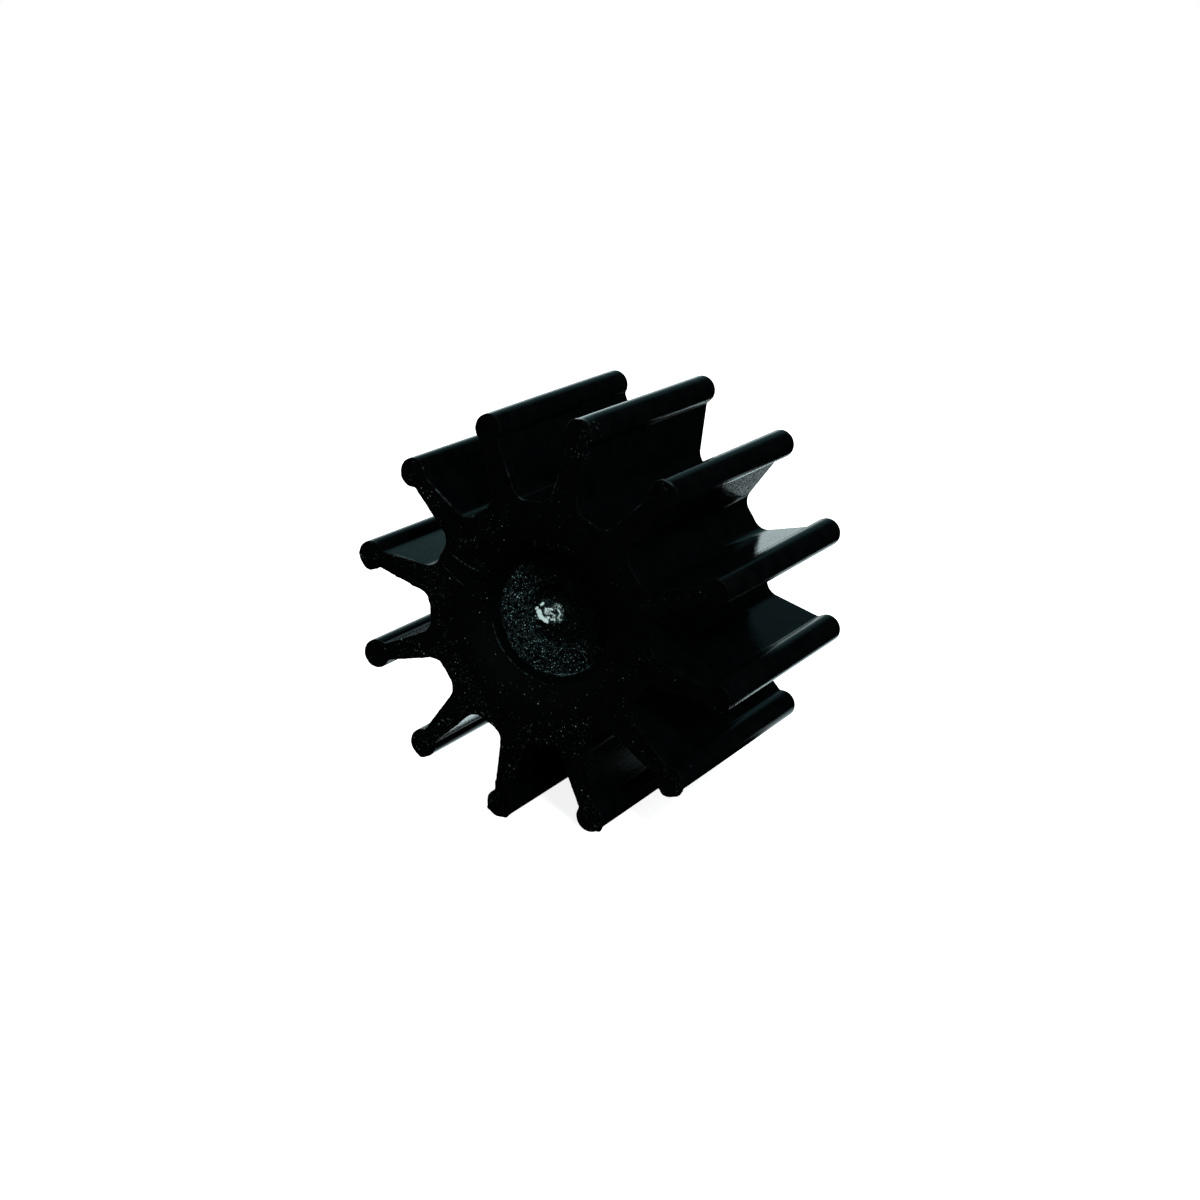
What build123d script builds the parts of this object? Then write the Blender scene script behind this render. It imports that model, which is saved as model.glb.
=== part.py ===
from build123d import *
import os

# Flexible pump impeller: a rubber body with twelve radial vanes, moulded round a metal hub insert.
# It lies on two vane tips. +Y runs along the shaft axis to the open rear end, and +Z is up.
# The origin is on the axis, halfway between the two end faces. All sizes are in millimetres.

# Overall size of the rubber body
outside_diameter = 65.1
width = 41.3

# Vanes: each one tapers from the hub to a round bulb
vane_count = 12
bulb_radius = 2.25
vane_root_thickness = 4.48
vane_tip_thickness = 2.28
root_fillet = 2.4
neck_fillet = 0.6
hub_radius = 18.95

# Front end: a rounded lip leads into a drafted recess, and a locating hole bares the insert
lip_radius = 15.5
lip_depth = 3.2
recess_rim_radius = 9.9
recess_floor_radius = 9.2
recess_floor_depth = 2.3
locating_hole_radius = 4.9
locating_hole_depth = 1.5
gate_mark_radius = 1.6
gate_mark_depth = 0.4
gate_mark_offset = 7.3
gate_mark_angle = -64.5

# Rear end: a shallow recess that leaves a step of bare rubber round the insert
rear_recess_step = 1.8
rear_recess_depth = 1.2

# Hub insert: a closed sleeve with bonding grooves outside and a keyed bore inside
insert_wall = 3.4
insert_end_wall = 3.0
groove_count = 3
groove_width = 2.6
groove_depth = 0.9
shaft_diameter = 15.875
shaft_clearance = 0.03
key_width = 4.76
key_height = 2.1
key_clearance = 0.05
mouth_chamfer = 0.6

# Places along the axis, worked out from the sizes above
front = -width / 2
rear = width / 2
recess_floor = front + lip_depth + recess_floor_depth
insert_front = recess_floor + locating_hole_depth
insert_rear = rear - rear_recess_depth
insert_length = insert_rear - insert_front
bore_length = insert_length - insert_end_wall

# Places across the axis
tip_circle_radius = outside_diameter / 2 - bulb_radius
bore_radius = shaft_diameter / 2 + shaft_clearance
insert_radius = bore_radius + insert_wall
rear_recess_radius = insert_radius + rear_recess_step


def vane_outline():
    """One vane along +X: straight tapered flanks that blend into a round bulb."""
    root_half = vane_root_thickness / 2
    tip_half = vane_tip_thickness / 2
    taper = (root_half - tip_half) / (tip_circle_radius - hub_radius)
    start = hub_radius / 2
    start_half = root_half + taper * (hub_radius - start)
    with BuildSketch() as vane:
        with BuildLine():
            Polyline(
                (start, -start_half),
                (tip_circle_radius, -tip_half),
                (tip_circle_radius, tip_half),
                (start, start_half),
                close=True,
            )
        make_face()
        with Locations((tip_circle_radius, 0)):
            Circle(bulb_radius)
        necks = vane.vertices().sort_by(Axis.X)[2:4]
        fillet(necks, neck_fillet)
    return vane.sketch


def end_profile():
    """End view of the body: the hub disc and its vanes, blended at each root."""
    pitch = 360 / vane_count
    with BuildSketch(Plane.XZ) as profile:
        Circle(hub_radius)
        with PolarLocations(0, vane_count, start_angle=pitch / 2):
            add(vane_outline())
        roots = profile.vertices().filter_by(lambda corner: Vector(corner).length < hub_radius + neck_fillet)
        fillet(roots, root_fillet)
    return profile.sketch


def front_recess():
    """What is open at the front: the lip's flare, the drafted recess and the locating hole."""
    rim = (recess_rim_radius, front + lip_depth)
    with BuildPart() as recess:
        with BuildSketch(Plane.XY):
            with BuildLine():
                Line((0, front), (lip_radius, front))
                TangentArc((lip_radius, front), rim, tangent=(-1, 0))
                Polyline(
                    rim,
                    (recess_floor_radius, recess_floor),
                    (locating_hole_radius, recess_floor),
                    (locating_hole_radius, insert_front),
                    (0, insert_front),
                    (0, front),
                )
            make_face()
        revolve(axis=Axis.Y)
        with BuildSketch(Plane.XZ.offset(-recess_floor)):
            with PolarLocations(gate_mark_offset, 1, start_angle=gate_mark_angle):
                Circle(gate_mark_radius)
        extrude(amount=-gate_mark_depth)
    return recess.part


def rear_recess():
    """Shallow round recess that leaves the rear end of the insert clear."""
    with BuildPart() as recess:
        with BuildSketch(Plane.XZ.offset(-rear)):
            Circle(rear_recess_radius)
        extrude(amount=rear_recess_depth)
    return recess.part


def insert_blank():
    """Outside of the insert, with the grooves that key it into the rubber."""
    with BuildPart() as blank:
        with BuildSketch(Plane.XZ.offset(-insert_rear)):
            Circle(insert_radius)
        extrude(amount=insert_length)
        for index in range(groove_count):
            groove_middle = insert_front + insert_length * (index + 1) / (groove_count + 1)
            with BuildSketch(Plane.XZ.offset(-groove_middle)):
                Circle(insert_radius)
                Circle(insert_radius - groove_depth, mode=Mode.SUBTRACT)
            extrude(amount=groove_width / 2, both=True, mode=Mode.SUBTRACT)
    return blank.part


def hub_insert():
    """Metal sleeve, closed at the front, with a keyed bore open to the rear."""
    slot_top = bore_radius + key_height
    with BuildPart() as insert:
        add(insert_blank())
        with BuildSketch(Plane.XZ.offset(-insert_rear)):
            Circle(bore_radius)
            with Locations((0, slot_top / 2)):
                Rectangle(key_width + 2 * key_clearance, slot_top)
        extrude(amount=bore_length, mode=Mode.SUBTRACT)
        mouth = insert.faces().sort_by(Axis.Y)[-1].inner_wires()[0].edges()
        chamfer(mouth, mouth_chamfer)
    return insert.part


def rubber_body():
    """Hub and vanes moulded in one piece round the insert."""
    moulding = extrude(end_profile(), amount=width / 2, both=True)
    return moulding - front_recess() - rear_recess() - insert_blank()


os.makedirs("parts", exist_ok=True)
export_step(rubber_body(), "parts/rubber_body.step")
export_step(hub_insert(), "parts/hub_insert.step")
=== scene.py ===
import math

import bmesh
import bpy
from mathutils import Matrix, Vector, noise


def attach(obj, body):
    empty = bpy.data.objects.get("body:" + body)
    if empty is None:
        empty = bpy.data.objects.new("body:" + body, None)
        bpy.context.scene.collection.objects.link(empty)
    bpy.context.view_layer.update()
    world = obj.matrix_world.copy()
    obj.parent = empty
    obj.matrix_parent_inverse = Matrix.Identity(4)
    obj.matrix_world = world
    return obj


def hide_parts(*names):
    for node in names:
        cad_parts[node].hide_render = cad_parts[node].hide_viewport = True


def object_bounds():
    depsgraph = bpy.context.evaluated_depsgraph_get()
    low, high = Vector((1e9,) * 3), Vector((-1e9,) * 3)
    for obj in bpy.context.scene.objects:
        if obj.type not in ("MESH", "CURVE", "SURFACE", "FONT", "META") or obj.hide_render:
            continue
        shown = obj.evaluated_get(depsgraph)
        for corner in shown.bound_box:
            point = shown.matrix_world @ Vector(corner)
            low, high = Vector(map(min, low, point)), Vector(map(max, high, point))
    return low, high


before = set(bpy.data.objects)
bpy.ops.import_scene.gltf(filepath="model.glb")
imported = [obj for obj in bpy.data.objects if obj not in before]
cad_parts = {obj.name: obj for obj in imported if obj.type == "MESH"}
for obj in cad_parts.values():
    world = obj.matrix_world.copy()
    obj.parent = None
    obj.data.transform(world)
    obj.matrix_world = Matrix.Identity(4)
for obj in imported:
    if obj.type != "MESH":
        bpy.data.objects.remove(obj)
cad_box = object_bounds()

# One millimetre, in metres
MM = 0.001

# Direction of the first vane and the angle from one vane to the next, in degrees
VANES = 12
FIRST_VANE, VANE_PITCH = 105, 360 / VANES
HALF_PITCH = math.pi / VANES

# Sizes of the rubber body, in millimetres. +Y runs along the axis to the open rear end.
FRONT, REAR = -20.65, 20.65
TIP_RADIUS = 30.3
BULB_RADIUS = 2.25
ROOT_HALF, TIP_HALF = 2.24, 1.14
ROOT_FILLET, NECK_FILLET = 2.4, 0.6
HUB_RADIUS = 18.95
LIP_RADIUS, LIP_ARC = 15.5, 6.5
RIM_RADIUS, RIM_Y = 9.9, -17.45
FLOOR_RADIUS, FLOOR_Y = 9.2, -15.15
HOLE_RADIUS, METAL_Y = 4.9, -13.65
SEAT_RADIUS, SEAT_END_Y = 11.3675, 19.45
REAR_RECESS_RADIUS = 13.1675
GROOVES, GROOVE_HALF_WIDTH, GROOVE_DEPTH = 3, 1.3, 0.9
GATE_RADIUS, GATE_DEPTH = 1.6, 0.4
GATE_X, GATE_Z = 3.14, -6.59

# Where the flat end faces stop at the lip and at the rear recess
LIP_START = LIP_RADIUS + 0.1
REAR_START = REAR_RECESS_RADIUS + 0.3

# Radii of the rounded edges, and how far from a corner the rings lie that keep it crisp
EDGE_ROUND, REAR_ROUND = 0.22, 0.42
HOLE_ROUND, REAR_RECESS_ROUND = 0.15, 0.2
SUPPORT, CREASE, MARGIN = 0.12, 0.04, 0.15

# Numbers of parts that the outline and the rings are divided into
BULB_STEPS, NECK_STEPS, FLANK_STEPS, ROOT_STEPS, GAP_STEPS = 20, 5, 20, 9, 4
EDGE_STEPS, MIDDLE_STEPS = 4, 14
LIP_STEPS, FLOOR_STEPS, SKIN_STEPS = 14, 32, 12

# Places of the rings behind the front, in millimetres, and on the hub's ends and the recess wall, as parts
FLASH_RINGS = (0.7, 1.1)
HUB_RINGS = (0.05, 0.35, 0.7)
WALL_RINGS = (0.04, 0.1, 0.4, 0.7, 0.93)
# Radii of the rings on the floor of the rear recess
REAR_FLOOR_RINGS = (11.5, 12.1, 12.8, 13.0)

# The sloped side of the gate mark, and the ridge round it
GATE_SLOPE = 0.12
RIDGE_OUT, RIDGE_WIDTH, RIDGE_HEIGHT = 0.3, 0.18, 0.07

# The thin skin of rubber round the uncovered spot: the spot's middle and half sizes, the skin's distance
# from the hole's wall, its height there and what it loses towards the spot, the part where it ends, its
# bumps
SKIN_X, SKIN_Z = -1.72, 0.1
SKIN_HALF_WIDTH, SKIN_HALF_HEIGHT = 2.6, 2.0
SKIN_INSET, SKIN_HEIGHT, SKIN_TAPER, SKIN_END, SKIN_BUMPS = 0.2, 0.13, 0.05, 1.02, 0.03

# How far each vane's front tip leans round the axis and outwards, in millimetres
LEAN = {1: (-0.5, -0.25), 2: (-0.45, -0.3), 3: (-0.1, 0.0), 6: (0.0, 0.1), 8: (0.0, -0.1)}
# Where inside the hub the lean starts, and how it grows along the vane and towards the front
LEAN_START, LEAN_ALONG_VANE, LEAN_TO_FRONT = 1, 1.5, 1.4

# Flash left on the bulbs' front ends: vane, direction in degrees, spread in degrees, height in millimetres
FLASH_SPOTS = (
    (3, 250, 22, 0.18),
    (5, 262, 16, 0.22),
    (6, 205, 9, 0.3),
    (6, 296, 8, 0.3),
    (7, 318, 14, 0.4),
    (8, 262, 26, 0.4),
    (8, 318, 30, 0.5),
    (11, 110, 30, 0.15),
    (12, 75, 40, 0.12),
)
# Height of the small bumps along the front edges, how far back they reach, and how far the spots reach
BUMP_HEIGHT, BUMP_REACH, SPOT_REACH = 0.13, 0.4, 1.0
# Vane sides, as (vane, side), whose front edge is paler with wear and a painted highlight, and those that
# are bumpier
WORN_AND_HIGHLIGHTED_SIDES = {(1, -1): 1.0, (2, -1): 1.0, (12, 1): 0.7, (11, 1): 0.7, (3, -1): 0.6}
SLIGHT_WEAR = 0.06
ROUGH_SIDES = {(3, 1): 2.6, (3, -1): 1.6, (4, 1): 1.6, (5, 1): 1.5, (6, -1): 1.6, (2, 1): 1.4}
# Faces that meet at more than this angle, in degrees, keep a crisp edge
SHARP_ANGLE = 35


def within(low, value, high):
    """A value, kept between two limits."""
    return max(low, min(high, value))


def arc(centre, radius, start, end, count, outward):
    """Points along an arc, its end left out, with the normals that point out of the rubber."""
    points = []
    for step in range(count):
        angle = start + (end - start) * step / count
        along, across = math.cos(angle), math.sin(angle)
        x, y = centre[0] + radius * along, centre[1] + radius * across
        points.append((x, y, outward * along, outward * across))
    return points


def vane_half():
    """Upper half of one vane's outline along +X, from the tip to halfway to the next vane."""
    taper = (ROOT_HALF - TIP_HALF) / (TIP_RADIUS - HUB_RADIUS)
    size = math.hypot(1, taper)
    along = Vector((-1, taper)) / size
    normal = Vector((taper, 1)) / size
    tip = Vector((TIP_RADIUS, TIP_HALF))
    bulb = Vector((TIP_RADIUS, 0))
    base = tip + normal * NECK_FILLET
    gap = base - bulb
    reach = math.sqrt(gap.dot(along) ** 2 - gap.length_squared + (BULB_RADIUS + NECK_FILLET) ** 2)
    neck = base + along * (reach - gap.dot(along))
    base = tip + normal * ROOT_FILLET
    reach = math.sqrt(base.dot(along) ** 2 - base.length_squared + (HUB_RADIUS + ROOT_FILLET) ** 2)
    root = base + along * (-base.dot(along) - reach)
    neck_angle = math.atan2(neck.y, neck.x - TIP_RADIUS)
    root_angle = math.atan2(root.y, root.x)
    flank_angle = math.atan2(-normal.y, -normal.x)
    points = arc(bulb, BULB_RADIUS, 0, neck_angle, BULB_STEPS, 1)
    points += arc(neck, NECK_FILLET, neck_angle - math.pi, flank_angle, NECK_STEPS, -1)
    start, end = neck - normal * NECK_FILLET, root - normal * ROOT_FILLET
    for step in range(FLANK_STEPS):
        place = start.lerp(end, step / FLANK_STEPS)
        points.append((place.x, place.y, normal.x, normal.y))
    points += arc(root, ROOT_FILLET, flank_angle, root_angle - math.pi, ROOT_STEPS, -1)
    hub_start = len(points)
    points += arc((0, 0), HUB_RADIUS, root_angle, HALF_PITCH, GAP_STEPS, 1)
    last = (math.cos(HALF_PITCH), math.sin(HALF_PITCH))
    points.append((HUB_RADIUS * last[0], HUB_RADIUS * last[1], last[0], last[1]))
    return points, hub_start


HALF, HUB_START = vane_half()
LAST = len(HALF) - 1


def vane_direction(vane):
    """Direction of vane 1..12 in degrees, from +X towards +Z."""
    return FIRST_VANE + VANE_PITCH * (vane - 1)


def place_on_vane(vane, x, y, axial):
    """Turns a point beside vane 1..12 into the frame, with that vane's lean, inside the model's box."""
    turn, out = LEAN.get(vane, (0, 0))
    along_vane = (x - HUB_RADIUS + LEAN_START) / (TIP_RADIUS - HUB_RADIUS + LEAN_START)
    bend = max(0.0, along_vane) ** LEAN_ALONG_VANE
    near = within(0.0, (REAR - axial) / (REAR - FRONT), 1.0) ** LEAN_TO_FRONT
    x += out * bend * near
    y += turn * bend * near
    angle = math.radians(vane_direction(vane))
    across = within(cad_box[0].x, MM * (x * math.cos(angle) - y * math.sin(angle)), cad_box[1].x) / MM
    height = within(cad_box[0].z, MM * (x * math.sin(angle) + y * math.cos(angle)), cad_box[1].z) / MM
    return (across, axial, height)


def grain(x, y, z, scale, seed):
    """Smooth noise in -1..1 at a place in millimetres. Each seed gives another pattern."""
    return noise.noise(Vector((x * scale + seed, y * scale - seed, z * scale + 2 * seed)))


def outline_keys():
    """Order of the points round one vane, as (half, index), from just past one gap to the next gap."""
    lower = [(-1, index) for index in range(LAST - 1, 0, -1)]
    upper = [(1, index) for index in range(LAST + 1)]
    return lower + upper


KEYS = outline_keys()


def flash(vane, half, index, axial):
    """How far the moulding flash stands out from the front edge at a point of the outline."""
    behind = axial - FRONT
    if behind > SPOT_REACH:
        return 0.0
    x, y, normal_x, normal_y = HALF[index]
    place = (x, half * y, 9 * vane)
    bumps = max(0.0, grain(*place, 1.1, 11) + 0.5 * grain(*place, 3.0, 5))
    height = BUMP_HEIGHT * ROUGH_SIDES.get((vane, half), 1.0) * bumps * max(0.0, 1 - behind / BUMP_REACH)
    if index < BULB_STEPS:
        direction = vane_direction(vane) + math.degrees(math.atan2(half * normal_y, normal_x))
        for spot_vane, angle, spread, amount in FLASH_SPOTS:
            if spot_vane == vane:
                away = (direction - angle + 180) % 360 - 180
                height += amount * math.exp(-((away / spread) ** 4)) * (SPOT_REACH - behind)
    return height


def outline_point(vane, half, index, inset, axial):
    """A point of the outline, set in by a distance, at a place along the axis."""
    x, y, normal_x, normal_y = HALF[index]
    inset -= flash(vane, half, index, axial)
    return place_on_vane(vane, x - inset * normal_x, half * (y - inset * normal_y), axial)


class Shell:
    """Points and faces of a mesh, in millimetres, and how much wear and painted highlight each point has.
    """

    def __init__(self):
        self.points = []
        self.faces = []
        self.wear_and_highlight = []

    def add(self, point, wear_and_highlight=0.0):
        self.points.append(point)
        self.wear_and_highlight.append(wear_and_highlight)
        return len(self.points) - 1

    def strip(self, first, second):
        """Faces between two closed rings of the same length."""
        for index in range(len(first)):
            after = (index + 1) % len(first)
            self.faces.append((first[index], first[after], second[after], second[index]))

    def grow(self, line, points):
        """Joins a new ring through these points to the line before it, and returns the ring."""
        ring = [self.add(point) for point in points]
        self.strip(line, ring)
        return ring

    def object(self, name):
        """A Blender object with this mesh, its faces turned outwards."""
        mesh = bpy.data.meshes.new(name)
        mesh.from_pydata([[MM * value for value in point] for point in self.points], [], self.faces)
        mesh.attributes.new("wear_and_highlight", "FLOAT", "POINT").data.foreach_set("value", self.wear_and_highlight)
        work = bmesh.new()
        work.from_mesh(mesh)
        bmesh.ops.recalc_face_normals(work, faces=work.faces)
        work.to_mesh(mesh)
        work.free()
        mesh.shade_smooth()
        mesh.set_sharp_from_angle(angle=math.radians(SHARP_ANGLE))
        piece = bpy.data.objects.new(name, mesh)
        bpy.context.scene.collection.objects.link(piece)
        return piece


def outline_ring(shell, inset, axial):
    """One ring round all vanes."""
    ring = {}
    slack = 0.01
    on_edge = axial < 0 and slack < inset < EDGE_ROUND - slack
    for vane in range(1, VANES + 1):
        for half, index in KEYS:
            wear_and_highlight = WORN_AND_HIGHLIGHTED_SIDES.get((vane, half), SLIGHT_WEAR) if on_edge else 0.0
            ring[vane, half, index] = shell.add(outline_point(vane, half, index, inset, axial), wear_and_highlight)
    return ring


def ring_list(ring):
    """The ring's points in their order round the impeller."""
    return [ring[vane, half, index] for vane in range(1, VANES + 1) for half, index in KEYS]


def end_columns(count):
    """Parts of the way across a vane, with thin columns at both sides."""
    thin = 0.04
    inner = [thin + (1 - 2 * thin) * step / count for step in range(count + 1)]
    return [0.0] + inner + [1.0]


COLUMNS = end_columns(8)


def vane_cap(shell, ring, axial, inset):
    """Fills the ends of the vanes and gives the closed line of points that is left round the hub."""
    line = []
    for vane in range(1, VANES + 1):
        row_before = [ring[vane, 1, 0]] * len(COLUMNS)
        for index in range(1, HUB_START + 1):
            row = []
            x, y, normal_x, normal_y = HALF[index]
            for part in COLUMNS:
                if part == 0.0:
                    row.append(ring[vane, -1, index])
                elif part == 1.0:
                    row.append(ring[vane, 1, index])
                else:
                    side = (y - inset * normal_y) * (2 * part - 1)
                    row.append(shell.add(place_on_vane(vane, x - inset * normal_x, side, axial)))
            for column in range(len(COLUMNS) - 1):
                corners = (row_before[column], row_before[column + 1], row[column + 1], row[column])
                shell.faces.append(tuple(dict.fromkeys(corners)))
            row_before = row
        line += [ring[vane, -1, index] for index in range(LAST - 1, HUB_START, -1)]
        line += row_before
        line += [ring[vane, 1, index] for index in range(HUB_START + 1, LAST + 1)]
    return line


def revolve(shell, line, angles, profile, shape=None):
    """Rings through (radius, axial) steps, joined to the line before them. Returns the last ring."""
    for radius, axial in profile:
        points = [(radius * math.cos(angle), axial, radius * math.sin(angle)) for angle in angles]
        if shape:
            points = [shape(point) for point in points]
        line = shell.grow(line, points)
    return line


def hub_cap(shell, line, circle_radius, axial):
    """Rings between the vanes' roots and the circle of an end recess, and their points' directions."""
    angles = [math.atan2(shell.points[index][2], shell.points[index][0]) for index in line]
    outer = [shell.points[index] for index in line]
    for part in HUB_RINGS:
        points = []
        for angle, (x, _, z) in zip(angles, outer):
            end_x, end_z = circle_radius * math.cos(angle), circle_radius * math.sin(angle)
            points.append((x + (end_x - x) * part, axial, z + (end_z - z) * part))
        line = shell.grow(line, points)
    return line, angles


def edge_rings(at, direction, radius):
    """(inset, axial) steps of a rounded edge, from the end face to the flanks."""
    steps = []
    for step in range(EDGE_STEPS + 1):
        angle = math.pi / 2 * step / EDGE_STEPS
        steps.append((radius * (1 - math.sin(angle)), at + direction * radius * (1 - math.cos(angle))))
    steps.append((0, at + direction * (radius + SUPPORT)))
    return steps


def front_profile():
    """(radius, axial) steps from the lip down the recess and its hole to the start of the thin skin."""
    slope = math.asin((LIP_RADIUS - RIM_RADIUS) / LIP_ARC)
    steps = [(LIP_START, FRONT)]
    for step in (*range(LIP_STEPS), LIP_STEPS - 0.25, LIP_STEPS):
        angle = slope * step / LIP_STEPS
        place = (LIP_RADIUS - LIP_ARC * math.sin(angle), FRONT + LIP_ARC * (1 - math.cos(angle)))
        steps.append(place)
    for part in WALL_RINGS:
        steps.append((RIM_RADIUS + (FLOOR_RADIUS - RIM_RADIUS) * part, RIM_Y + (FLOOR_Y - RIM_Y) * part))
    steps.append((FLOOR_RADIUS - CREASE, FLOOR_Y - CREASE))
    outer, inner = FLOOR_RADIUS - MARGIN, HOLE_RADIUS + HOLE_ROUND
    for step in range(FLOOR_STEPS + 1):
        steps.append((outer + (inner - outer) * step / FLOOR_STEPS, FLOOR_Y))
    for angle in (30, 60, 90):
        turn = math.radians(angle)
        radius = HOLE_RADIUS + HOLE_ROUND * (1 - math.sin(turn))
        steps.append((radius, FLOOR_Y + HOLE_ROUND * (1 - math.cos(turn))))
    steps += [(HOLE_RADIUS, FLOOR_Y + 0.7), (HOLE_RADIUS, METAL_Y - 0.3)]
    steps += [(HOLE_RADIUS - 0.06, METAL_Y - 0.17), (HOLE_RADIUS - SKIN_INSET, METAL_Y - SKIN_HEIGHT)]
    return steps


def skin_profile():
    """Part of the way in, and height over the metal, of the thin skin round the uncovered spot."""
    steps = []
    for step in range(1, SKIN_STEPS + 1):
        steps.append((step / SKIN_STEPS, SKIN_HEIGHT - SKIN_TAPER * step / SKIN_STEPS))
    return steps + [(1.01, 0.05), (SKIN_END, 0.0)]


def skin_ring_point(part, height, angle):
    """A point of the skin. Its inner edge is ragged and off the axis."""
    c, s = math.cos(angle), math.sin(angle)
    ragged = 0.35 * grain(c, s, 0, 1.7, 3) + 0.25 * grain(c, s, 0, 4, 8) + 0.15 * grain(c, s, 0, 12, 5)
    outer = HOLE_RADIUS - SKIN_INSET
    x = outer * c + (SKIN_X + (SKIN_HALF_WIDTH + ragged) * c - outer * c) * part
    z = outer * s + (SKIN_Z + (SKIN_HALF_HEIGHT + ragged) * s - outer * s) * part
    lift = 0.0
    if height > 0.06:
        lift = SKIN_BUMPS * grain(x, 0, z, 2.5, 4) * min(1, 4 * part * (SKIN_END - part))
    return (x, METAL_Y - height - lift, z)


def seat_profile():
    """(radius, axial) steps of the grooved seat of the insert and of the rear recess."""
    length = SEAT_END_Y - METAL_Y
    steps = [(SEAT_RADIUS, METAL_Y)]
    for index in range(1, GROOVES + 1):
        middle = METAL_Y + length * index / (GROOVES + 1)
        steps.append((SEAT_RADIUS, middle - GROOVE_HALF_WIDTH))
        steps.append((SEAT_RADIUS - GROOVE_DEPTH, middle - GROOVE_HALF_WIDTH))
        steps.append((SEAT_RADIUS - GROOVE_DEPTH, middle + GROOVE_HALF_WIDTH))
        steps.append((SEAT_RADIUS, middle + GROOVE_HALF_WIDTH))
    steps.append((SEAT_RADIUS, SEAT_END_Y))
    for radius in REAR_FLOOR_RINGS:
        steps.append((radius, SEAT_END_Y))
    steps.append((REAR_RECESS_RADIUS - CREASE, SEAT_END_Y + CREASE))
    steps.append((REAR_RECESS_RADIUS, SEAT_END_Y + MARGIN))
    for angle in (0, 30, 60, 90):
        turn = math.radians(angle)
        radius = REAR_RECESS_RADIUS + REAR_RECESS_ROUND * (1 - math.cos(turn))
        steps.append((radius, REAR - REAR_RECESS_ROUND * (1 - math.sin(turn))))
    return steps


def with_gate_mark(point):
    """Presses the round gate mark into the recess floor, with a slightly raised rim."""
    x, axial, z = point
    on_floor = abs(axial - FLOOR_Y) <= 0.001
    if not on_floor:
        return point
    away = math.hypot(x - GATE_X, z - GATE_Z)
    edge = within(0.0, (GATE_RADIUS + GATE_SLOPE - away) / (2 * GATE_SLOPE), 1.0)
    ridge = math.exp(-(((away - GATE_RADIUS - RIDGE_OUT) / RIDGE_WIDTH) ** 2))
    return (x, axial + GATE_DEPTH * edge * edge * (3 - 2 * edge) - RIDGE_HEIGHT * ridge, z)


def rubber_mesh():
    """Hub, vanes and recesses as one closed mesh."""
    shell = Shell()
    rings = [outline_ring(shell, inset, axial) for inset, axial in edge_rings(FRONT, 1, EDGE_ROUND)]
    rings += [outline_ring(shell, 0, FRONT + behind) for behind in FLASH_RINGS]
    start, end = FRONT + FLASH_RINGS[-1], REAR - REAR_ROUND - SUPPORT
    for step in range(1, MIDDLE_STEPS):
        rings.append(outline_ring(shell, 0, start + (end - start) * step / MIDDLE_STEPS))
    for inset, axial in reversed(edge_rings(REAR, -1, REAR_ROUND)):
        rings.append(outline_ring(shell, inset, axial))
    for first, second in zip(rings, rings[1:]):
        shell.strip(ring_list(first), ring_list(second))
    line = vane_cap(shell, rings[0], FRONT, EDGE_ROUND)
    line, angles = hub_cap(shell, line, LIP_START, FRONT)
    line = revolve(shell, line, angles, front_profile(), with_gate_mark)
    for part, height in skin_profile():
        line = shell.grow(line, [skin_ring_point(part, height, angle) for angle in angles])
    line = revolve(shell, line, angles, seat_profile())
    rear_line = vane_cap(shell, rings[-1], REAR, REAR_ROUND)
    rear_line, _ = hub_cap(shell, rear_line, REAR_START, REAR)
    shell.strip(rear_line, line)
    return shell


def node(tree, kind, inputs=None, **settings):
    """A shader node with its inputs set: a value, or the socket it comes from."""
    made = tree.nodes.new(kind)
    for name, value in settings.items():
        setattr(made, name, value)
    for name, value in (inputs or {}).items():
        if isinstance(value, bpy.types.NodeSocket):
            tree.links.new(value, made.inputs[name])
        else:
            made.inputs[name].default_value = value
    return made


def new_material(name):
    """A new node material, its tree, and its Principled shader."""
    material = bpy.data.materials.new(name)
    material.use_nodes = True
    tree = material.node_tree
    return material, tree, tree.nodes["Principled BSDF"]


def maths(tree, operation, first, second=0.0, clamp=False):
    """The result of one operation on numbers or sockets."""
    made = node(tree, "ShaderNodeMath", {0: first, 1: second}, operation=operation, use_clamp=clamp)
    return made.outputs[0]


def times(tree, first, second):
    return maths(tree, "MULTIPLY", first, second)


def plus(tree, first, second):
    return maths(tree, "ADD", first, second)


def larger(tree, first, second):
    return maths(tree, "MAXIMUM", first, second)


def linear(tree, value, start, gain):
    """A start, and a gain for each unit of a value."""
    return plus(tree, start, times(tree, value, gain))


def inverse(tree, value):
    """1 minus a value."""
    return maths(tree, "SUBTRACT", 1.0, value)


def vector_maths(tree, operation, inputs):
    return node(tree, "ShaderNodeVectorMath", inputs, operation=operation).outputs["Vector"]


def dot(tree, vector, direction):
    """How far a vector reaches along a direction."""
    inputs = {0: vector, 1: direction}
    return node(tree, "ShaderNodeVectorMath", inputs, operation="DOT_PRODUCT").outputs["Value"]


def length(tree, vector):
    return node(tree, "ShaderNodeVectorMath", {0: vector}, operation="LENGTH").outputs["Value"]


def ramp(tree, value, low, high):
    """0 below low, 1 above high, smooth between."""
    inputs = {"Value": value, "From Min": low, "From Max": high}
    return node(tree, "ShaderNodeMapRange", inputs, interpolation_type="SMOOTHSTEP").outputs["Result"]


def between(tree, value, low, high, soft):
    """1 from low to high, fading over a soft distance outside."""
    rise = ramp(tree, value, low - soft, low)
    return times(tree, rise, inverse(tree, ramp(tree, value, high, high + soft)))


def mix_colour(tree, part, first, second):
    """The first colour where part is 0, the second where it is 1."""
    inputs = {"Factor": part, 6: first, 7: second}
    return node(tree, "ShaderNodeMix", inputs, data_type="RGBA").outputs[2]


def noise_value(tree, place, scale, detail=2.0, roughness=0.5):
    inputs = {"Vector": place, "Scale": scale, "Detail": detail, "Roughness": roughness}
    return node(tree, "ShaderNodeTexNoise", inputs).outputs["Fac"]


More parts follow.
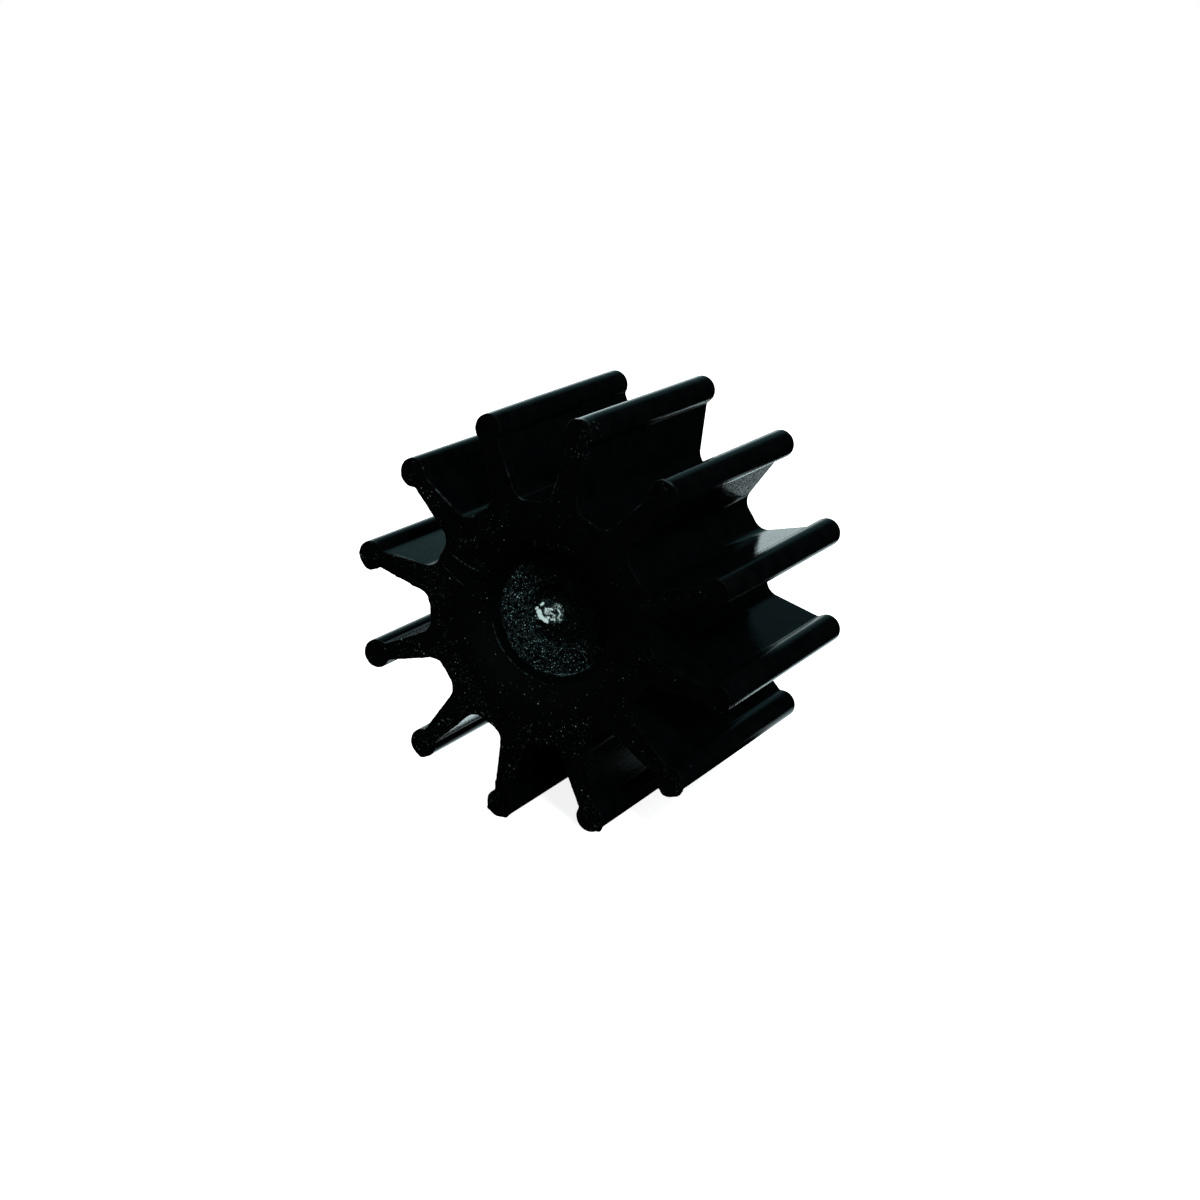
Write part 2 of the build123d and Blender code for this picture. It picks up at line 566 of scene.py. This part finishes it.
def millimetres(tree):
    """Object coordinates in millimetres: as a vector, as (x, y, z), and as a vector across the axis."""
    place = node(tree, "ShaderNodeTexCoord").outputs["Object"]
    scaled = vector_maths(tree, "SCALE", {0: place, "Scale": 1000.0})
    xyz = node(tree, "ShaderNodeSeparateXYZ", {"Vector": scaled}).outputs
    across = node(tree, "ShaderNodeCombineXYZ", {"X": xyz[0], "Z": xyz[2]}).outputs["Vector"]
    return scaled, xyz, across


def stroke(tree, across, start, end, width, soft):
    """1 along a line between two (x, z) places of an end face, fading at a distance from it."""
    line = Vector((end[0] - start[0], 0, end[1] - start[1]))
    away = vector_maths(tree, "SUBTRACT", {0: across, 1: (start[0], 0, start[1])})
    part = dot(tree, away, tuple(line))
    part = maths(tree, "MULTIPLY", part, 1 / line.length_squared, clamp=True)
    foot = vector_maths(tree, "SCALE", {0: tuple(line), "Scale": part})
    gap = node(tree, "ShaderNodeVectorMath", {0: away, 1: foot}, operation="DISTANCE").outputs["Value"]
    return inverse(tree, ramp(tree, gap, width - soft, width + soft))


def strokes(tree, across, places, width, soft):
    """One mask of a line through several places."""
    mask = stroke(tree, across, places[0], places[1], width, soft)
    for start, end in zip(places[1:], places[2:]):
        mask = larger(tree, mask, stroke(tree, across, start, end, width, soft))
    return mask


# Colours of the rubber and of what lies on it
RUBBER_DARK = (0.0004, 0.0006, 0.0007, 1)
RUBBER_LIGHT = (0.0009, 0.0012, 0.0013, 1)
END_FACE_BLACK = (0, 0, 0, 1)
SPECK_GREY = (0.15, 0.21, 0.21, 1)
# Grey of the dust in the recess, also used for the painted highlights along its rims
DUST_AND_HIGHLIGHT_GREY = (0.31, 0.49, 0.51, 1)
# Grey of the front edges, paler with wear and with a painted highlight
WEAR_AND_HIGHLIGHT_GREY = (0.045, 0.066, 0.066, 1)
RUBBER_IOR = 1.08
# How much blacker the end faces are, the roughness of the flanks, and what grain and end faces add to it
END_FACE_SHADE = 0.6
FLANK_ROUGH, GRAIN_ROUGH, END_FACE_ROUGH = 0.05, 0.1, 0.6
# Noise scales of the fine grain and of the broad unevenness, and the strength and height of their bump
GRAIN_SCALE, BROAD_SCALE = 2.5, 0.35
GRAIN_STRENGTH, GRAIN_HEIGHT = 0.2, 0.00012

# Colours of the metal, of the dark colour on its front, and of the places where that front is bright
METAL_CLEAN = (0.55, 0.61, 0.59, 1)
METAL_STAINED = (0.36, 0.41, 0.39, 1)
FRONT_DARK = (0.001, 0.003, 0.003, 1)
FRONT_DULL = (0.06, 0.11, 0.11, 1)
FRONT_BRIGHT = (0.72, 0.86, 0.84, 1)
# Roughness of the metal, what its stains add, and the strength and height of its turned rings
METAL_ROUGH, STAIN_ROUGH = 0.32, 0.22
RING_STRENGTH, RING_HEIGHT = 0.5, 0.00005

# Least size of a dot of dust, how much larger the largest is, and its soft edge, in parts of a cell
DOT_SIZE, DOT_SPREAD, DOT_SOFT = 0.16, 0.2, 0.16

# Specks, as a start and a gain: their cover outside and inside the clusters, its share on the flanks and
# on the end faces, and its share at the upper right and at the lower left
SPECK_COVER, SPECK_FACES, SPECK_SIDES = (0.06, 0.22), (0.15, 0.85), (0.3, 0.8)

# Half width and softness of the painted highlight lines across the faces, their reach along the axis, and
# over which part of the radius their ends fade
LINE_HALF_WIDTH, LINE_SOFT = 0.02, 0.06
LINE_REACH, LINE_REACH_SOFT = 0.12, 0.1
LINE_FADE = 0.12
# Painted highlights where edges catch the light: centre, radius, place along the axis, direction they look
# in, spread in degrees, strength
RIM_HIGHLIGHT_LINES = (
    ((0, 0), RIM_RADIUS - 0.02, RIM_Y, (-0.73, -0.68), 38, 0.06),
    ((0, 0), FLOOR_RADIUS - 0.04, FLOOR_Y, (0.25, -0.97), 34, 0.24),
    ((0, 0), HOLE_RADIUS + 0.08, FLOOR_Y, (-0.9, -0.4), 85, 0.1),
    ((GATE_X, GATE_Z), GATE_RADIUS + 0.3, FLOOR_Y, (0.1, 0.99), 80, 0.13),
)

# Where the grey dust lies: radii over which it ends at the recess wall, its limits along the axis, and the
# radii over which the hole starts
BLOOM_END, BLOOM_DEPTH, BLOOM_HOLE = (9.2, 9.5), (-15.4, -13.0), (4.4, 4.9)

# Rubbed places and pale dotted patches of the front, as lines through (x, z) in millimetres, half width
# and softness
SCUFFS = (
    (((-14.7, 9.55), (-10.2, 7.1)), 0.1, 0.06),
    (((-15.8, 7.3), (-12.7, 4.7)), 0.06, 0.05),
)
PALE_PATCHES = (
    (((-0.5, 12.3), (5.5, 11.7)), 0.8, 0.8),
    (((-3.0, -9.9), (1.5, -10.6)), 0.6, 0.6),
    (((8.2, 26.8), (9.4, 30.4)), 1.5, 1.0),
    (((21.4, 22.9), (22.2, 22.2)), 0.5, 0.4),
)
SCUFF_STRENGTH, PALE_PATCH_STRENGTH = 0.14, 0.35
# The axial places between which the marks of the front end
FRONT_MARKS_END = (-17.6, -17.3)

# Where the uncovered spot is bright, and where rubber is left on it, as (x, z) in millimetres
CRESCENT = ((-3.75, -0.05), (-3.6, -0.65), (-3.2, -1.15), (-2.5, -1.55))
LEFT_DOTS = (((-4.3, 0.3), (-3.95, 0.55)), ((-3.3, 1.0), (-2.95, 1.35)))
BRIGHT_MIDDLE = ((-2.35, 0.1), (-1.6, 0.2))
BRIGHT_FOOT = ((-2.4, -0.85), (-1.2, -1.0))
MOTTLED = ((-0.6, -0.7), (-0.4, 0.6), (0.4, 1.4))
LEFT_RUBBER = (
    ((-1.75, 0.3), (-1.25, 0.16), (-1.0, -0.05), (-0.55, 0.0)),
    ((-2.8, -0.6), (-2.2, -0.55), (-1.5, -0.8)),
)
# How far the edges of these places wander, in millimetres
RAGGED = 0.55
# The axial places between which the metal's front ends, and the share of that front that is matt
METAL_FRONT, MATT_SHARE = (-13.3, -13.0), 0.8


def dots_of_dust(tree, place, scale, cover, faint=2.0):
    """Small soft dots of dust, more where cover is higher, and fewer of them bright where faint is."""
    cells = node(tree, "ShaderNodeTexVoronoi", {"Vector": place, "Scale": scale})
    random = node(tree, "ShaderNodeSeparateColor", {"Color": cells.outputs["Color"]}).outputs
    size = linear(tree, random[0], DOT_SIZE, DOT_SPREAD)
    dots = ramp(tree, maths(tree, "SUBTRACT", size, cells.outputs["Distance"]), 0.0, DOT_SOFT)
    kept = ramp(tree, maths(tree, "SUBTRACT", cover, random[1]), -0.02, 0.1)
    strength = times(tree, maths(tree, "POWER", random[2], faint), kept)
    return times(tree, dots, strength)


def rim_line(tree, across, centre, radius, towards, spread):
    """A thin line round a circle of an end face, on the side that looks towards a direction."""
    away = vector_maths(tree, "SUBTRACT", {0: across, 1: (centre[0], 0, centre[1])})
    inner, outer = radius - LINE_HALF_WIDTH, radius + LINE_HALF_WIDTH
    line = between(tree, length(tree, away), inner, outer, LINE_SOFT)
    edge = radius * math.cos(math.radians(spread))
    side = ramp(tree, dot(tree, away, (towards[0], 0, towards[1])), edge, edge + LINE_FADE * radius)
    return times(tree, line, side)


def painted_rim_highlights(tree, place, xyz, across):
    """Strength of the painted highlights along the recess's rim, its floor's edge, the hole and the gate
    mark.
    """
    rims = 0.0
    for centre, radius, axial, towards, spread, strength in RIM_HIGHLIGHT_LINES:
        line = rim_line(tree, across, centre, radius, towards, spread)
        level = between(tree, xyz[1], axial - LINE_REACH, axial + LINE_REACH, LINE_REACH_SOFT)
        line = times(tree, times(tree, line, level), strength)
        rims = larger(tree, rims, line)
    uneven = ramp(tree, noise_value(tree, place, 1.6, 4.0, 0.9), 0.46, 0.62)
    return times(tree, rims, uneven)


def dust_and_shade_cover(tree, place, across):
    """Grey dust in patches and rings, most at the lower left: painted shade thins it at the upper right
    and the hole's top and bottom.
    """
    rings = node(tree, "ShaderNodeCombineXYZ", {"X": length(tree, across)}).outputs["Vector"]
    patches_and_shade = plus(tree, noise_value(tree, place, 0.5, 3.0), noise_value(tree, rings, 1.4, 2.0))
    # Painted shade: the dust thins towards the upper right, where the recess wall casts its shadow
    patches_and_shade = plus(tree, patches_and_shade, dot(tree, across, (-0.06, 0, -0.045)))
    cover = larger(tree, ramp(tree, patches_and_shade, 0.45, 1.75), 0.1)
    # Painted shade: less dust at the top and bottom of the hole, where its walls cast shade
    sides = maths(tree, "ABSOLUTE", dot(tree, across, (0, 0, 1)))
    in_hole = inverse(tree, ramp(tree, length(tree, across), *BLOOM_HOLE))
    hole_shade = times(tree, in_hole, ramp(tree, sides, 0.6, 2.2))
    return times(tree, cover, inverse(tree, times(tree, hole_shade, 0.6)))


def dust_in_recess(tree, place, xyz, across):
    """Strength of the grey dust on the recess floor: coarse and fine dots, and a faint powder, thinned by
    painted shade.
    """
    inside = inverse(tree, ramp(tree, length(tree, across), *BLOOM_END))
    recess = times(tree, inside, between(tree, xyz[1], *BLOOM_DEPTH, 0.4))
    cover = dust_and_shade_cover(tree, place, across)
    coarse = dots_of_dust(tree, place, 2.6, cover, 2.7)
    fine = dots_of_dust(tree, place, 4.4, cover, 2.7)
    powder = ramp(tree, noise_value(tree, place, 3.0, 2.0, 0.7), 0.5, 0.68)
    powder = times(tree, powder, times(tree, cover, 0.04))
    return times(tree, recess, larger(tree, larger(tree, coarse, fine), powder))


def front_marks(tree, place, xyz, across):
    """Strength of the scuffs and pale dotted patches on the front."""
    front = inverse(tree, ramp(tree, xyz[1], *FRONT_MARKS_END))
    scuffed = 0.0
    for places, width, soft in SCUFFS:
        scuffed = larger(tree, scuffed, strokes(tree, across, places, width, soft))
    broken = ramp(tree, noise_value(tree, place, 2.6, 3.0, 0.8), 0.48, 0.62)
    scuffed = times(tree, times(tree, scuffed, broken), SCUFF_STRENGTH)
    # Pale dotted patches above and below the recess and on the front ends of two vanes
    pale_patches = 0.0
    for places, width, soft in PALE_PATCHES:
        pale_patches = larger(tree, pale_patches, strokes(tree, across, places, width, soft))
    dots = dots_of_dust(tree, place, 3.4, pale_patches)
    pale_patches = times(tree, times(tree, pale_patches, PALE_PATCH_STRENGTH), dots)
    return times(tree, front, larger(tree, scuffed, pale_patches))


def specks(tree, place, across, end_face):
    """Strength of the pale specks, in loose clusters, most on the end faces, fewer at the upper right."""
    clusters = ramp(tree, noise_value(tree, place, 0.22, 2.0), 0.38, 0.7)
    cover = linear(tree, clusters, *SPECK_COVER)
    cover = times(tree, cover, linear(tree, end_face, *SPECK_FACES))
    low_left = ramp(tree, dot(tree, across, (-0.7, 0, -0.7)), -18.0, 6.0)
    cover = times(tree, cover, linear(tree, low_left, *SPECK_SIDES))
    fine = times(tree, dots_of_dust(tree, place, 4.5, times(tree, cover, 0.8)), 0.4)
    return larger(tree, fine, dots_of_dust(tree, place, 2.8, cover, 7.0))


def rubber_colour(tree, place, xyz, across, end_face, broad):
    """Near-black rubber, blacker on the end faces, with specks, grey dust, painted highlights along the
    recess's rims, and front edges paler with wear and a painted highlight.
    """
    base = mix_colour(tree, ramp(tree, broad, 0.3, 0.7), RUBBER_DARK, RUBBER_LIGHT)
    base = mix_colour(tree, times(tree, end_face, END_FACE_SHADE), base, END_FACE_BLACK)
    pale = larger(tree, specks(tree, place, across, end_face), front_marks(tree, place, xyz, across))
    base = mix_colour(tree, pale, base, SPECK_GREY)
    # Dust in the recess and painted highlights along its rims share one grey
    dust_and_highlights = larger(tree, dust_in_recess(tree, place, xyz, across), painted_rim_highlights(tree, place, xyz, across))
    base = mix_colour(tree, dust_and_highlights, base, DUST_AND_HIGHLIGHT_GREY)
    # Front edges paler with wear, and with a painted highlight on the sides listed
    wear_and_highlight = node(tree, "ShaderNodeAttribute", attribute_name="wear_and_highlight").outputs["Fac"]
    broken = ramp(tree, noise_value(tree, place, 0.3, 4.0, 0.75), 0.5, 0.75)
    return mix_colour(tree, times(tree, wear_and_highlight, broken), base, WEAR_AND_HIGHLIGHT_GREY)


def rubber_material():
    """Black moulded rubber with a fine grain, glossy on the flanks and dull on the end faces."""
    material, tree, shader = new_material("moulded_rubber")
    place, xyz, across = millimetres(tree)
    normal = node(tree, "ShaderNodeNewGeometry").outputs["Normal"]
    end_face = ramp(tree, maths(tree, "ABSOLUTE", dot(tree, normal, (0, 1, 0))), 0.1, 0.6)
    fine = noise_value(tree, place, GRAIN_SCALE, 2.0, 0.6)
    broad = noise_value(tree, place, BROAD_SCALE, 2.0)
    base = rubber_colour(tree, place, xyz, across, end_face, broad)
    tree.links.new(base, shader.inputs["Base Color"])
    rough = linear(tree, fine, FLANK_ROUGH, GRAIN_ROUGH)
    rough = linear(tree, end_face, rough, END_FACE_ROUGH)
    tree.links.new(rough, shader.inputs["Roughness"])
    shader.inputs["IOR"].default_value = RUBBER_IOR
    height = linear(tree, broad, fine, 0.5)
    relief = {"Height": height, "Strength": GRAIN_STRENGTH, "Distance": GRAIN_HEIGHT}
    bump = node(tree, "ShaderNodeBump", relief)
    tree.links.new(bump.outputs["Normal"], shader.inputs["Normal"])
    return material


def ragged_place(tree, place, across):
    """The place across the axis, moved about a little, so that what is drawn at it has ragged edges."""
    noise_inputs = {"Vector": place, "Scale": 2.6, "Detail": 4.0}
    ragged = node(tree, "ShaderNodeTexNoise", noise_inputs).outputs["Color"]
    moved = vector_maths(tree, "MULTIPLY_ADD", {0: ragged, 1: (RAGGED, 0, RAGGED), 2: across})
    return vector_maths(tree, "SUBTRACT", {0: moved, 1: (RAGGED / 2, 0, RAGGED / 2)})


def bare_spot(tree, place, across):
    """How bright the metal of the uncovered spot is made."""
    grainy = noise_value(tree, place, 3.2, 4.0, 0.8)
    across = ragged_place(tree, place, across)
    bright_part = strokes(tree, across, CRESCENT, 0.42, 0.06)
    for places in LEFT_DOTS:
        bright_part = larger(tree, bright_part, strokes(tree, across, places, 0.16, 0.1))
    middle = strokes(tree, across, BRIGHT_MIDDLE, 0.52, 0.08)
    middle = larger(tree, middle, strokes(tree, across, BRIGHT_FOOT, 0.26, 0.08))
    bright_part = larger(tree, bright_part, times(tree, middle, ramp(tree, grainy, 0.44, 0.52)))
    mottled = strokes(tree, across, MOTTLED, 0.8, 0.25)
    bright_part = larger(tree, bright_part, times(tree, mottled, ramp(tree, grainy, 0.51, 0.59)))
    for places in LEFT_RUBBER:
        covered = strokes(tree, across, places, 0.13, 0.05)
        bright_part = times(tree, bright_part, inverse(tree, covered))
    return bright_part


def metal_colour(tree, place, across, front, stain):
    """Stained metal, and on its front a dark colour round the bright places."""
    base = mix_colour(tree, ramp(tree, stain, 0.4, 0.65), METAL_CLEAN, METAL_STAINED)
    dull = ramp(tree, noise_value(tree, place, 3.6, 4.0, 0.85), 0.5, 0.7)
    # The metal's front is coloured dark, duller in places, and bright where the spot's mask is high
    front_colour = mix_colour(tree, dull, FRONT_DARK, FRONT_DULL)
    front_colour = mix_colour(tree, bare_spot(tree, place, across), front_colour, FRONT_BRIGHT)
    return mix_colour(tree, front, base, front_colour)


def metal_material():
    """Turned metal of the insert, with fine rings about the axis, and a mostly matt front."""
    material, tree, shader = new_material("turned_metal")
    place, xyz, across = millimetres(tree)
    front = inverse(tree, ramp(tree, xyz[1], *METAL_FRONT))
    path = {"X": length(tree, across), "Y": times(tree, xyz[1], 0.6)}
    rings = noise_value(tree, node(tree, "ShaderNodeCombineXYZ", path).outputs["Vector"], 7.0, 3.0, 0.6)
    stain = noise_value(tree, place, 1.1, 4.0, 0.6)
    base = metal_colour(tree, place, across, front, stain)
    tree.links.new(base, shader.inputs["Base Color"])
    matt = times(tree, front, MATT_SHARE)
    tree.links.new(inverse(tree, matt), shader.inputs["Metallic"])
    shader.inputs["Specular IOR Level"].default_value = 0.1
    rough = linear(tree, stain, METAL_ROUGH, STAIN_ROUGH)
    tree.links.new(rough, shader.inputs["Roughness"])
    relief = {"Height": rings, "Strength": RING_STRENGTH, "Distance": RING_HEIGHT}
    bump = node(tree, "ShaderNodeBump", relief)
    tree.links.new(bump.outputs["Normal"], shader.inputs["Normal"])
    return material


def paint(piece, material):
    """Gives every face of a piece this material."""
    if piece.material_slots:
        for slot in piece.material_slots:
            slot.link = "OBJECT"
            slot.material = material
    else:
        piece.data.materials.append(material)


# The floor, in metres: half its width, the brightness that it adds near the object, and how much it gains
# between two distances from it
FLOOR_HALF_WIDTH = 12.0
FLOOR_GREY = (0.7, 0.7, 0.7, 1)
FLOOR_GLOW, FLOOR_GAIN, FLOOR_FAR = 0.87, 0.15, (0.15, 0.6)

# What reflections show on the floor, in metres: a strip and, less bright, a patch, both behind the front
CARD_COLOUR, CARD_STRENGTH = (0.78, 0.97, 1.0, 1), 2.7
STRIP_ACROSS = (1, -0.15, 0)
STRIP_START, STRIP_END, STRIP_FRONT = (-0.044, -0.036), (-0.022, -0.014), (-0.025, -0.015)
PATCH_X, PATCH_Y, PATCH_PART = (0.015, 0.03, 0.004), (0.03, 0.1, 0.01), 0.75


def floor_card(tree, place):
    """Brightness of the strip and the patch of the floor that reflections show."""
    aside = dot(tree, place, STRIP_ACROSS)
    strip = inverse(tree, ramp(tree, aside, *STRIP_END))
    strip = times(tree, strip, ramp(tree, aside, *STRIP_START))
    x, y, _ = node(tree, "ShaderNodeSeparateXYZ", {"Vector": place}).outputs
    strip = times(tree, strip, ramp(tree, y, *STRIP_FRONT))
    patch = times(tree, between(tree, x, *PATCH_X), between(tree, y, *PATCH_Y))
    return times(tree, larger(tree, strip, times(tree, patch, PATCH_PART)), CARD_STRENGTH)


def floor_material():
    """Plain pale floor that keeps the object's soft shadow. Reflections show only its strip and patch."""
    material, tree, shader = new_material("pale_floor")
    shader.inputs["Base Color"].default_value = FLOOR_GREY
    shader.inputs["Roughness"].default_value = 0.9
    shader.inputs["Specular IOR Level"].default_value = 0.1
    path = node(tree, "ShaderNodeLightPath").outputs
    place = node(tree, "ShaderNodeNewGeometry").outputs["Position"]
    far = ramp(tree, length(tree, place), *FLOOR_FAR)
    level = linear(tree, far, FLOOR_GLOW, FLOOR_GAIN)
    level = times(tree, level, path["Is Camera Ray"])
    white = node(tree, "ShaderNodeEmission", {"Color": (1, 1, 1, 1), "Strength": level})
    added = {0: shader.outputs["BSDF"], 1: white.outputs["Emission"]}
    lit = node(tree, "ShaderNodeAddShader", added).outputs["Shader"]
    card = node(tree, "ShaderNodeEmission", {"Color": CARD_COLOUR, "Strength": floor_card(tree, place)})
    mirrored = larger(tree, path["Is Glossy Ray"], path["Is Transmission Ray"])
    both = {0: mirrored, 1: lit, 2: card.outputs["Emission"]}
    surface = node(tree, "ShaderNodeMixShader", both).outputs["Shader"]
    tree.links.new(surface, tree.nodes["Material Output"].inputs["Surface"])
    return material


def build_floor(height):
    """A wide plain pale floor."""
    half = FLOOR_HALF_WIDTH
    mesh = bpy.data.meshes.new("floor")
    corners = [(-half, -half, height), (half, -half, height), (half, half, height), (-half, half, height)]
    mesh.from_pydata(corners, [], [(0, 1, 2, 3)])
    floor = bpy.data.objects.new("floor", mesh)
    bpy.context.scene.collection.objects.link(floor)
    mesh.materials.append(floor_material())


# Light from the surroundings: its dim ground colour, the panel behind with its bluish border, the glow
# in front, and the band of light round the sides and above
SURROUNDINGS = (0.008, 0.012, 0.013)
PANEL_DIRECTION = (-0.53, 0.846, -0.05)
PANEL_COLOUR, BORDER_COLOUR = (1.75, 1.9, 1.9), (0.22, 0.47, 0.52)
FRONT_GLOW = (0.14, 0.15, 0.15)
BAND_COLOUR, BAND_BEHIND = (2.0, 2.05, 2.05), 0.14


def build_world():
    """White to the camera. The object is lit by a panel behind, a glow in front and a band all round."""
    world = bpy.data.worlds.new("studio")
    bpy.context.scene.world = world
    world.use_nodes = True
    tree = world.node_tree
    tree.nodes.clear()
    direction = node(tree, "ShaderNodeTexCoord").outputs["Generated"]
    behind = dot(tree, direction, PANEL_DIRECTION)
    before = dot(tree, direction, (0, -1, 0))
    away_from_band = maths(tree, "ABSOLUTE", plus(tree, before, BAND_BEHIND))
    shade = SURROUNDINGS
    for value, low, high, colour in (
        (behind, 0.9, 1.0, PANEL_COLOUR),
        (behind, 0.69, 0.84, BORDER_COLOUR),
        (before, 0.1, 0.7, FRONT_GLOW),
        (away_from_band, 0.52, 0.32, BAND_COLOUR),
    ):
        part = ramp(tree, value, low, high)
        shade = vector_maths(tree, "MULTIPLY_ADD", {0: colour, 1: part, 2: shade})
    studio = node(tree, "ShaderNodeBackground", {"Color": shade, "Strength": 1.0})
    white = node(tree, "ShaderNodeBackground", {"Color": (1, 1, 1, 1), "Strength": 1.0})
    seen = node(tree, "ShaderNodeLightPath").outputs["Is Camera Ray"]
    choice = {0: seen, 1: studio.outputs["Background"], 2: white.outputs["Background"]}
    both = node(tree, "ShaderNodeMixShader", choice).outputs["Shader"]
    node(tree, "ShaderNodeOutputWorld", {"Surface": both})


def build_lamp(name, direction, distance, size, power, colour):
    """A soft lamp in a direction from the object, aimed at it."""
    data = bpy.data.lights.new(name, "AREA")
    data.shape = "RECTANGLE"
    data.size, data.size_y = size
    data.energy = power
    data.color = colour
    lamp = bpy.data.objects.new(name, data)
    away = Vector(direction).normalized()
    lamp.location = away * distance
    lamp.rotation_euler = away.to_track_quat("Z", "Y").to_euler()
    lamp.visible_camera = False
    bpy.context.scene.collection.objects.link(lamp)


# Viewing angle and roll in degrees, the camera's distance and how far the object's middle lies from the
# middle of the frame in millimetres, and the lens
AZIMUTH, ELEVATION, ROLL = 28.860, 15.038, -1.565
DISTANCE, ASIDE, ABOVE = 342.816, 0.504, 1.2167
LENS, SENSOR_WIDTH = 65.72, 36


def build_camera():
    """The photograph's viewing angle, with its slight roll and its frame."""
    azimuth, elevation, roll = math.radians(AZIMUTH), math.radians(ELEVATION), math.radians(ROLL)
    right = Vector((math.cos(azimuth), math.sin(azimuth), 0))
    flat = math.cos(elevation)
    back = Vector((math.sin(azimuth) * flat, -math.cos(azimuth) * flat, math.sin(elevation)))
    up = back.cross(right)
    rolled_right = right * math.cos(roll) + up * math.sin(roll)
    rolled_up = up * math.cos(roll) - right * math.sin(roll)
    data = bpy.data.cameras.new("camera")
    data.lens = LENS
    data.sensor_width = SENSOR_WIDTH
    data.clip_start, data.clip_end = 0.01, 100
    camera = bpy.data.objects.new("camera", data)
    turn = Matrix((rolled_right, rolled_up, back)).transposed()
    spot = (back * DISTANCE - rolled_right * ASIDE - rolled_up * ABOVE) * MM
    camera.matrix_world = Matrix.Translation(spot) @ turn.to_4x4()
    bpy.context.scene.collection.objects.link(camera)
    bpy.context.scene.camera = camera


body = rubber_mesh().object("impeller_body")
paint(body, rubber_material())
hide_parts("rubber_body")
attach(body, "root")

paint(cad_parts["hub_insert"], metal_material())

build_floor(cad_box[0].z)
build_world()
build_lamp(
    "key_lamp",
    direction=(0.58, -0.574, 0.58),
    distance=0.9,
    size=(0.14, 0.14),
    power=6.0,
    colour=(0.86, 1.0, 1.0),
)
build_camera()

bpy.context.scene.view_settings.view_transform = "Standard"
